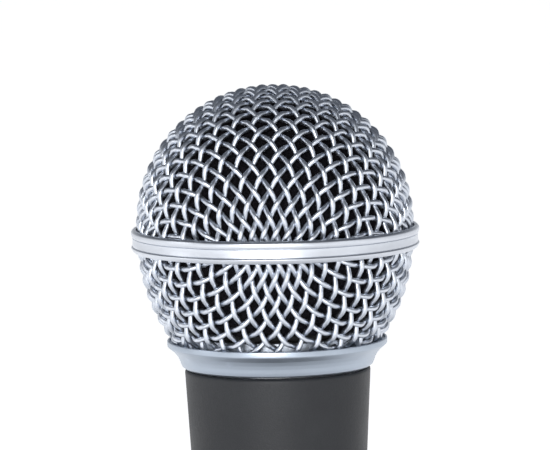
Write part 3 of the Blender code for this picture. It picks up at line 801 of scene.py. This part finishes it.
def make_band():
    """Two round beads with a hollow between them, creased where they meet it.

    The wires' ends stand in a slot above and a slot below.
    """
    slot_outer, slot_inner, inside = 24.64 * MM, 22.6 * MM, 22.0 * MM
    web, skirt = 0.4 * MM, 1.6 * MM
    half = (BAND_TOP - BAND_LOW) / 2
    crest, shoulder, hollow, crease = BAND_RADIUS, 25.15 * MM, 25.26 * MM, 25.08 * MM
    corners = [(slot_outer, web), (slot_outer, half, 0.1 * MM), (shoulder, half, 0.3 * MM)]
    corners += [(crest, 1.62 * MM, 0.4 * MM), (crest, 1.0 * MM, 0.6 * MM), (25.32 * MM, 0.66 * MM)]
    corners += [(crease, 0.58 * MM, 0.02 * MM), (25.27 * MM, 0.49 * MM), (hollow, -0.15 * MM, 2.0 * MM)]
    corners += [(25.29 * MM, -0.86 * MM), (25.22 * MM, -0.92 * MM, 0.02 * MM), (25.36 * MM, -0.98 * MM)]
    corners += [(crest, -1.12 * MM, 0.3 * MM), (crest, -1.3 * MM, 0.5 * MM)]
    corners += [(25.1 * MM, -half, 0.4 * MM), (slot_outer, -half, 0.1 * MM), (slot_outer, -web)]
    corners += [(slot_inner, -web), (slot_inner, -skirt, 0.1 * MM), (inside, -skirt, 0.1 * MM)]
    corners += [(inside, skirt, 0.1 * MM), (slot_inner, skirt, 0.1 * MM), (slot_inner, web)]
    section = [(r, BAND_PLANE + z) for r, z in rounded(corners)]
    dress(turned("band_ring", section), "grille_metal", "grille_head", "grille_band")


THREAD_PITCH = 1.0 * MM
THREAD_DEPTH = 0.5 * MM
LEVELS_PER_PITCH = 12


def thread_relief(radius_range, low, high):
    """A V-thread's outward relief on the points in a range of radii and heights, faded at its ends."""

    def relief(radius, height, angle):
        inside = (radius >= radius_range[0]) & (radius <= radius_range[1])
        inside &= (height >= low) & (height <= high)
        turns = (height - low) / THREAD_PITCH - angle / math.tau
        ridge = np.clip(1.25 * np.abs(2 * (turns % 1.0) - 1.0) - 0.1, 0.0, 1.0)
        fade = np.clip(np.minimum(height - low, high - height) / (0.8 * THREAD_PITCH), 0.0, 1.0)
        return np.where(inside, THREAD_DEPTH * ridge * fade, 0.0)

    return relief


def make_collar():
    """An upright lip round the bowl's rim, a hollow taper under it and a threaded skirt."""
    bore = 15.9 * MM
    lip_outer, lip_inner = COLLAR_RADIUS, COLLAR_RADIUS - 0.4 * MM
    seat, seat_floor, groove_floor = 17.05 * MM, BAND_PLANE - 19.8 * MM, BAND_PLANE - 18.3 * MM
    outside = [(19.28, 19.12, 0.3), (18.4, 19.85, 0.8), (17.78, 20.6, 1.0), (17.42, 21.3, 1.0)]
    outside += [(17.2, 21.95, 0.6), (16.95, 22.5, 0.15), (16.5, 22.8, 0.15), (16.0, 22.8, 0.15)]
    corners = [(lip_inner, groove_floor), (lip_inner, COLLAR_TOP, 0.19 * MM)]
    corners += [(lip_outer, COLLAR_TOP, 0.19 * MM), (lip_outer, COLLAR_TOP - 1.0 * MM, 0.25 * MM)]
    corners += [(r * MM, BAND_PLANE - depth * MM, fillet * MM) for r, depth, fillet in outside]
    thread_low, thread_top = BAND_PLANE - 22.5 * MM, BAND_PLANE - 20.0 * MM
    count = round((thread_top - thread_low) / THREAD_PITCH * LEVELS_PER_PITCH)
    corners += levels(bore, thread_low, thread_top, count)
    corners += [(bore, seat_floor, 0.1 * MM), (seat, seat_floor), (seat, groove_floor)]
    relief = thread_relief((bore - MM, bore + 0.01 * MM), thread_low, thread_top)
    section = rounded(corners)
    # Painted shade: a darker copy of the band's satin nickel, standing in for the darker reflections in the
    # collar's hollow
    painted_shade_nickel = turned_finish("collar_nickel_painted_shade", (0.43, 0.485, 0.56), 0.36)
    collar = turned("collar_ring", section, relief=relief)
    dress(collar, "grille_metal", "grille_head", "grille_collar", look=painted_shade_nickel)


def make_sleeve():
    inner = SLEEVE_RADIUS - 0.5 * MM
    corners = [(inner, SLEEVE_LOW, 0.1 * MM), (SLEEVE_RADIUS, SLEEVE_LOW, 0.1 * MM)]
    corners += [(SLEEVE_RADIUS, SLEEVE_TOP, 0.2 * MM), (inner, SLEEVE_TOP, 0.2 * MM)]
    # Painted shade: a darker copy of the satin nickel, standing in for the shade behind the mesh; the higher
    # roughness is a duller finish
    dull_and_shaded_nickel = turned_finish("dull_nickel_painted_shade", (0.52, 0.56, 0.62), 0.42)
    dress(turned("sleeve_ring", rounded(corners)), "grille_metal", "head_carrier", "grille_sleeve", look=dull_and_shaded_nickel)


def make_foam():
    """The liner's surface is crumpled by about a tenth of a millimetre, as cut foam is."""
    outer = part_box("foam_liner")[1].x
    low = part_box("foam_liner")[0].z
    pinch, pinch_radius = 1.9 * MM, 21.6 * MM
    dome_wall, bowl_wall, clearance = 3.5 * MM, 2.9 * MM, 2.0 * MM
    axis = BOWL_RADIUS - BOWL_ARC
    side = BOWL_ARC - clearance
    inner_side = side - bowl_wall
    foot = -math.degrees(math.asin((BAND_PLANE - low) / side))
    inner_foot = -math.degrees(math.asin((BAND_PLANE - low) / inner_side))
    start = -math.degrees(math.asin(pinch / side))
    section = arc((0.0, DOME_CENTRE), outer, 90.0, 0.0, 90)
    section[0] = (0.0, DOME_CENTRE + outer)
    section += [(outer - 0.1 * MM, BAND_PLANE + pinch + 0.2 * MM), (pinch_radius, BAND_PLANE + pinch)]
    section += levels(pinch_radius, BAND_PLANE + 1.4 * MM, BAND_PLANE - pinch, 8)
    section += arc((axis, BAND_PLANE), side, start, foot, 36)
    section += arc((axis, BAND_PLANE), inner_side, inner_foot, 0.0, 30)
    section += arc((0.0, DOME_CENTRE), outer - dome_wall, 0.0, 90.0, 60)
    section[-1] = (0.0, DOME_CENTRE + outer - dome_wall)
    liner = turned("liner_foam", section, 240)
    places = [vertex.co.copy() for vertex in liner.data.vertices]
    normals = [vertex.normal.copy() for vertex in liner.data.vertices]
    for i, (place, normal) in enumerate(zip(places, normals)):
        cell = noise.noise(place / (0.9 * MM)) + 0.5 * noise.noise(place / (0.35 * MM))
        places[i] = place - normal * (0.12 * MM * (cell + 0.5))
    liner.data.vertices.foreach_set("co", [number for place in places for number in place])
    liner.data.update()
    dress(liner, "black_foam", "grille_head", "foam_liner")


# The handle and what it carries


def handle_taper():
    """Radii up the handle's outside, from its lower rim to the shoulder, closer round the screw."""
    all_the_way = np.linspace(1.2 * MM, SHOULDER - 1.2 * MM, 60)
    by_the_screw = np.linspace(*SCREW_REGION, 15)
    heights = np.unique(np.concatenate([all_the_way, by_the_screw]))
    widening = UPPER_RADIUS - LOWER_RADIUS
    return [(LOWER_RADIUS + widening * (z / SHOULDER) ** TAPER_POWER, z) for z in heights]


def make_handle():
    crest = 15.6 * MM
    root = crest - THREAD_DEPTH
    bore, step, wall = 13.4 * MM, 96.0 * MM, 2.2 * MM
    socket, socket_depth, neck = 8.2 * MM, 26.2 * MM, 7.3 * MM
    thread_low, thread_top = SHOULDER + 0.9 * MM, SPIGOT_TOP - 0.3 * MM
    count = round((thread_top - thread_low) / THREAD_PITCH * LEVELS_PER_PITCH)
    rim = 0.35 * MM
    corners = [(LOWER_RADIUS - rim, 0.0, 0.2 * MM), (LOWER_RADIUS, rim, 0.3 * MM)]
    corners += handle_taper()
    corners += [(UPPER_RADIUS, SHOULDER, 0.6 * MM), (root, SHOULDER, 0.1 * MM)]
    corners += levels(root, thread_low, thread_top, count)
    corners += [(root, SPIGOT_TOP, 0.2 * MM), (bore, SPIGOT_TOP, 0.2 * MM), (bore, step, 0.3 * MM)]
    inside = [(r - wall, z) for r, z in handle_taper() if 30 * MM < z < 80 * MM]
    corners += inside[::-1][::4]
    corners += [(neck, socket_depth + 1.2 * MM), (neck, socket_depth), (socket, socket_depth)]
    corners += [(socket, 0.4 * MM, 0.1 * MM), (socket + 0.4 * MM, 0.0, 0.1 * MM)]
    relief = thread_relief((root - 0.01 * MM, root + MM), thread_low, thread_top)
    handle = turned("handle_casting", rounded(corners), relief=relief, sharp=30.0)
    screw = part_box("set_screw")
    screw_height = (screw[0].z + screw[1].z) / 2
    hole = rod_form(1.4 * MM, (0.0, -14 * MM, screw_height), (0.0, -7 * MM, screw_height))
    notch = box_form((-2.2 * MM, 7.2 * MM, 8.2 * MM), (2.2 * MM, 9.4 * MM, 11.0 * MM))
    cut(handle, hole, notch)
    dress(handle, "handle_enamel", "handle", "handle_body")
    handle.data.materials.append(bare_casting_finish())
    for face in handle.data.polygons:
        if face.center.z > SHOULDER - 0.02 * MM:
            face.material_index = 1


def make_set_screw():
    low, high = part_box("set_screw")
    height = (low.z + high.z) / 2
    radius = (high.z - low.z) / 2
    length = high.y - low.y
    corners = [(0.0, 0.0), (radius, 0.0, 0.2 * MM), (radius, length, 0.25 * MM), (0.0, length)]
    screw = turned("slotted_screw", rounded(corners), 48)
    screw.data.transform(Matrix.Translation((0.0, high.y, height)) @ Matrix.Rotation(math.pi / 2, 4, "X"))
    slot_low = (-1.4 * MM, low.y - 0.3 * MM, height - 0.2 * MM)
    cut(screw, box_form(slot_low, (1.4 * MM, low.y + 0.5 * MM, height + 0.2 * MM)))
    blackened = steel_finish("blackened_steel", (0.10, 0.10, 0.11), (0.06, 0.06, 0.065), 0.5)
    dress(screw, "plated_steel", "handle", "set_screw", look=blackened)


def make_isolation_ring():
    """Folded rubber: its flange sits on the spigot and its inner leg grips the capsule's can.

    The flange is narrower than the foam's foot, which it passes as the capsule rises.
    """
    low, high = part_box("isolation_ring")
    inner, outer, leg, flange = 10.6 * MM, 13.1 * MM, 0.8 * MM, 14.3 * MM
    foot, fold, ledge = 112.0 * MM, SPIGOT_TOP - 0.3 * MM, SPIGOT_TOP + 0.3 * MM
    corners = [(inner, foot, 0.2 * MM), (inner + leg, foot, 0.2 * MM)]
    corners += [(inner + leg, fold, 0.4 * MM), (outer - leg, fold, 0.4 * MM)]
    corners += [(outer - leg, low.z, 0.2 * MM), (outer, low.z, 0.2 * MM), (outer, ledge, 0.1 * MM)]
    corners += [(flange, ledge, 0.3 * MM), (flange, high.z, 0.4 * MM), (inner, high.z, 0.2 * MM)]
    ring = turned("rubber_mount", rounded(corners), ROUND_SIDES)
    dress(ring, "black_rubber", None, "isolation_ring")
    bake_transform(ring)


def lead_points(side):
    """The route of a capsule lead, the same as the frame's, from terminal to transformer."""
    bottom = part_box("capsule_lead_1")[0].z
    route = [(4.0, 0.0, 83.7), (4.0, 0.8, 80.0), (3.4, 4.0, 74.0), (2.5, 6.0, 68.0)]
    points = [(side * x * MM, y * MM, z * MM) for x, y, z in route]
    return np.array(points + [(side * 2.5 * MM, 6.0 * MM, bottom)])


def make_capsule_leads():
    for number, side, slot in ((1, 1, "red_insulation"), (2, -1, "black_insulation")):
        path = smooth_through(lead_points(side), 10)
        normal = np.tile((1.0, 0.0, 0.0), (len(path), 1))
        wire = tubes(f"flexible_lead_{number}", [path], [normal], 0.45 * MM, 16)
        dress(wire, slot, None, f"capsule_lead_{number}")
        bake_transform(wire)


def make_capsule():
    wall, floor = 1.1 * MM, 1.2 * MM
    radius = CAPSULE_RADIUS
    can = 10.6 * MM
    corners = [(can, CAPSULE_BASE, 0.2 * MM), (radius, CAPSULE_BASE, 0.5 * MM)]
    corners += [(radius, CAPSULE_RIM - 6.2 * MM), (radius - 0.25 * MM, CAPSULE_RIM - 6.0 * MM, 0.1 * MM)]
    corners += [(radius - 0.25 * MM, CAPSULE_RIM - 5.6 * MM, 0.1 * MM), (radius, CAPSULE_RIM - 5.4 * MM)]
    corners += [(radius, CAPSULE_RIM, 0.25 * MM), (radius - wall, CAPSULE_RIM)]
    corners += [(radius - wall, CAPSULE_BASE + floor), (can, CAPSULE_BASE + floor)]
    housing = turned("capsule_shell", rounded(corners))
    vents = 6
    forms = []
    for i in range(vents):
        low, high = (11.0 * MM, -1.7 * MM, 122.4 * MM), (13.5 * MM, 1.7 * MM, 125.0 * MM)
        forms.append(box_form(low, high, math.tau * (i + 0.5) / vents))
    cut(housing, *forms)
    dress(housing, "black_plastic", "capsule", "capsule_housing")


def make_front_cap():
    low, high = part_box("front_cap")
    under, over, flange_low = 137.1 * MM, 138.2 * MM, CAPSULE_RIM + 0.3 * MM
    skirt, skirt_inner, rim_inner = 11.2 * MM, 10.3 * MM, 11.9 * MM
    radius = high.x
    corners = [(0.0, under), (skirt_inner, under), (skirt_inner, low.z), (skirt, low.z)]
    corners += [(skirt, flange_low), (radius, flange_low, 0.1 * MM), (radius, high.z, 0.35 * MM)]
    corners += [(rim_inner, high.z, 0.15 * MM), (rim_inner, over), (0.0, over)]
    cap = turned("pierced_cap", rounded(corners))
    forms = [rod_form(2.0 * MM, (0, 0, under - MM), (0, 0, over + MM), 48)]
    holes = 8
    for i in range(holes):
        angle = math.tau * i / holes
        x, y = 6.6 * MM * math.cos(angle), 6.6 * MM * math.sin(angle)
        forms.append(rod_form(1.4 * MM, (x, y, under - MM), (x, y, over + MM), 40))
    cut(cap, *forms)
    dress(cap, "can_aluminium", "capsule", "front_cap")


def make_front_screen():
    """Fine woven wire cloth, cut to a disc."""
    low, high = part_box("front_screen")
    radius = high.x - 0.05 * MM
    thread = (high.z - low.z) / 4
    pitch, steps = 0.6 * MM, 4
    middle = (low.z + high.z) / 2
    each_side = int(radius / pitch)
    paths, normals = [], []
    for family in (0, 1):
        for i in range(-each_side, each_side + 1):
            half = math.sqrt(radius**2 - (i * pitch) ** 2)
            cells = int(half / pitch)
            if cells < 2:
                continue
            t = np.arange(-cells * steps, cells * steps + 1) / steps
            wave = np.cos(math.pi * (t + i + family)) * thread
            across = np.full_like(t, i * pitch)
            line = (t * pitch, across, middle + wave) if family else (across, t * pitch, middle + wave)
            paths.append(np.stack(line, -1))
            normals.append(np.tile((0.0, 0.0, 1.0), (len(t), 1)))
    dress(tubes("woven_screen", paths, normals, thread, 5), "plated_steel", "capsule", "front_screen")


def make_screen_ring():
    low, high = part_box("screen_ring")
    inner, outer = 10.4 * MM, high.x
    corners = [(inner, low.z, 0.08 * MM), (outer, low.z, 0.08 * MM)]
    corners += [(outer, high.z, 0.12 * MM), (inner, high.z, 0.12 * MM)]
    dress(turned("retaining_ring", rounded(corners)), "brass_parts", "capsule", "screen_ring")


def make_pins():
    """Connector contacts with rounded tips and hollow solder cups."""
    radius, cup = 1.2 * MM, 0.75 * MM
    for number in (1, 2, 3):
        low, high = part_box(f"xlr_pin_{number}")
        corners = [(0.0, low.z), (radius, low.z, 1.1 * MM), (radius, high.z, 0.15 * MM)]
        corners += [(cup, high.z, 0.15 * MM), (cup, high.z - 3 * MM), (0.0, high.z - 3 * MM)]
        pin = turned(f"contact_pin_{number}", rounded(corners), 32)
        centre = (low + high) / 2
        pin.data.transform(Matrix.Translation((centre.x, centre.y, 0.0)))
        dress(pin, "grille_metal", "handle", f"xlr_pin_{number}")


# Nodes that the frame already shapes well

CARRIED_OVER = {
    "plated_steel": ("yoke_cup", "pole_piece"),
    "can_aluminium": ("rear_chamber",),
    "black_plastic": ("xlr_insert", "transformer_bobbin"),
    "brass_parts": ("capsule_terminal_1", "capsule_terminal_2", "diaphragm_seat", "ground_clip"),
    "grey_felt": ("vent_felt",),
    "board": ("terminal_board",),
    "magnet_alloy": ("magnet",),
    "clear_film": ("diaphragm",),
    "copper_wire": ("voice_coil", "transformer_winding"),
    "core_steel": ("transformer_core",),
    "adhesive": ("glue_plug",),
    "yellow_insulation": ("output_lead_2",),
    "green_insulation": ("output_lead_3",),
}


def dress_carried_over():
    for slot, names in CARRIED_OVER.items():
        for name in names:
            for material_slot in NODES[name].material_slots:
                material_slot.material = MATERIALS[slot]


# The studio

CAMERA_DISTANCE = 0.737
CAMERA_ELEVATION = math.radians(6.0)
CAMERA_ROLL = math.radians(-1.1)
VIEW_WIDTH = 97.3 * MM  # of what the camera sees at the microphone's axis
AIM_ABOVE_BAND = 2.2 * MM
SENSOR = 36.0
WORLD_STOPS = [  # share of the way from horizon to zenith, and the light there
    (0.0, (1.0, 1.0, 1.0)),
    (0.06, (0.90, 0.91, 0.92)),
    (0.18, (0.50, 0.52, 0.55)),
    (0.5, (0.10, 0.11, 0.13)),
]


def make_camera():
    target = Vector((0.0, 0.0, BAND_PLANE + AIM_ABOVE_BAND))
    data = bpy.data.cameras.new("camera")
    data.sensor_width = SENSOR
    data.lens = SENSOR * CAMERA_DISTANCE / VIEW_WIDTH
    data.clip_start = 0.05
    data.clip_end = 50.0
    camera = link("camera", data)
    direction = Vector((0.0, -math.cos(CAMERA_ELEVATION), math.sin(CAMERA_ELEVATION)))
    camera.location = target + CAMERA_DISTANCE * direction
    look = direction.to_track_quat("Z", "Y").to_matrix() @ Matrix.Rotation(CAMERA_ROLL, 3, "Z")
    camera.rotation_euler = look.to_euler()
    bpy.context.scene.camera = camera


def make_floor():
    form = bmesh.new()
    bmesh.ops.create_grid(form, x_segments=8, y_segments=8, size=12.0)
    mesh = bpy.data.meshes.new("floor")
    form.to_mesh(mesh)
    form.free()
    floor = link("floor", mesh)
    mesh.materials.append(floor_finish())


def soft_light(name, place, target, width, height, power):
    data = bpy.data.lights.new(name, "AREA")
    data.shape = "RECTANGLE"
    data.size = width
    data.size_y = height
    data.energy = power
    light = link(name, data)
    light.visible_camera = False
    light.location = place
    light.rotation_euler = (Vector(place) - Vector(target)).to_track_quat("Z", "Y").to_euler()


def make_lights():
    head = (0.0, 0.0, BAND_PLANE)
    soft_light("key", (-0.2, -1.5, 0.45), head, 0.9, 0.85, 15.4)
    soft_light("fill_right", (1.2, -0.8, 0.45), head, 0.4, 0.7, 0.7)
    soft_light("side_left", (-1.2, -0.2, 0.5), head, 0.4, 0.8, 1.7)
    world = bpy.data.worlds.new("studio")
    world.use_nodes = True
    tree = world.node_tree
    direction = tree.nodes.new("ShaderNodeTexCoord").outputs["Generated"]
    split = tree.nodes.new("ShaderNodeSeparateXYZ")
    tree.links.new(direction, split.inputs[0])
    ramp = tree.nodes.new("ShaderNodeValToRGB")
    for i, (position, colour) in enumerate(WORLD_STOPS):
        stop = ramp.color_ramp.elements[i] if i < 2 else ramp.color_ramp.elements.new(position)
        stop.position = position
        stop.color = (*colour, 1.0)
    tree.links.new(split.outputs["Z"], ramp.inputs["Fac"])
    background = tree.nodes["Background"]
    background.inputs["Strength"].default_value = 1.0
    tree.links.new(ramp.outputs["Color"], background.inputs["Color"])
    bpy.context.scene.world = world


def set_colours():
    view = bpy.context.scene.view_settings
    view.view_transform = "Standard"
    view.look = "None"
    view.exposure = 0.0
    view.gamma = 1.0


make_camera()
make_grille()
make_band()
make_collar()
make_sleeve()
make_foam()
make_handle()
make_set_screw()
make_isolation_ring()
make_capsule_leads()
make_capsule()
make_front_cap()
make_front_screen()
make_screen_ring()
make_pins()
dress_carried_over()
make_floor()
make_lights()
set_colours()
